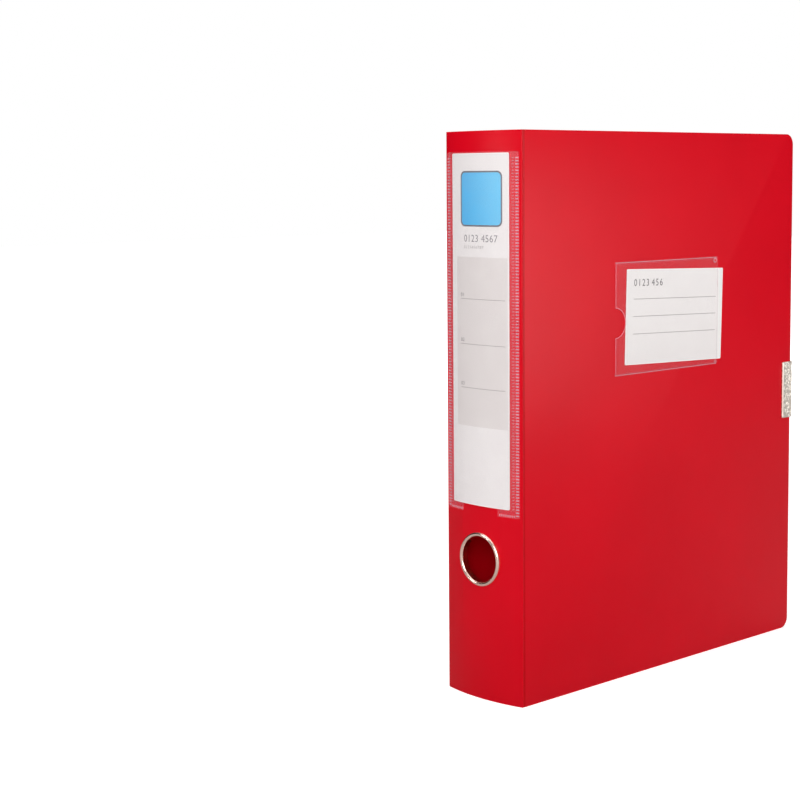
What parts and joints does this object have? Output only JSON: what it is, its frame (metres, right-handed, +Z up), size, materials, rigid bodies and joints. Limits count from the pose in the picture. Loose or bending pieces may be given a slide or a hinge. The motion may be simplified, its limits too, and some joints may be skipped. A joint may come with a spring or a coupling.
{
  "type": "file box",
  "caption": "A4 plastic file box with a hinged spine and cover, finger ring, clear label pockets and a magnet catch.",
  "frame": {"origin": "bottom centre of the closed box, its finger ring and keeper clip included", "axes": "+Z up along the spine's height, +X from the spine to the fore-edge, +Y from the front cover to the back panel"},
  "size_m": [0.2526, 0.0578, 0.312],
  "materials": {
    "red_polypropylene": "satin extruded sheet",
    "clear_film": "clear gloss film",
    "label_card": "smooth printed card",
    "nickel": "bright nickel plate",
    "clip_steel": "textured plated steel",
    "case_plastic": "moulded satin",
    "ferrite": "ground matt"
  },
  "bodies": {
    "tray": {"back_panel": "red_polypropylene", "top_wall": "red_polypropylene", "bottom_wall": "red_polypropylene", "fore_edge_wall": "red_polypropylene", "tray_rivets": "nickel", "tray_rivet_washers": "nickel", "magnet_case": "case_plastic", "magnet_block": "ferrite", "pole_plates": "clip_steel"},
    "spine": {"spine_panel": "red_polypropylene", "finger_ring_eyelet": "nickel", "finger_ring_washer": "nickel", "spine_pocket_film": "clear_film"},
    "cover": {"front_cover": "red_polypropylene", "keeper_clip": "clip_steel", "cover_pocket_film": "clear_film"},
    "spine_card": {"spine_label_card": "label_card"},
    "cover_card": {"cover_label_card": "label_card"}
  },
  "joints": [
    {"name": "spine_fold", "type": "hinge", "parent": "tray", "child": "spine", "pos_m": [-0.1208, 0.0283, 0], "axis": [0, 0, 1], "range_deg": [-90, 0]},
    {"name": "cover_fold", "type": "hinge", "parent": "spine", "child": "cover", "pos_m": [-0.1208, -0.0275, 0], "axis": [0, 0, 1], "range_deg": [-180, 0]},
    {"name": "spine_card_slide", "type": "slide", "parent": "spine", "child": "spine_card", "axis": [0, 0, 1], "range_m": [0, 0.2]},
    {"name": "cover_card_slide", "type": "slide", "parent": "cover", "child": "cover_card", "axis": [1, 0, 0], "range_m": [0, 0.095]}
  ]
}
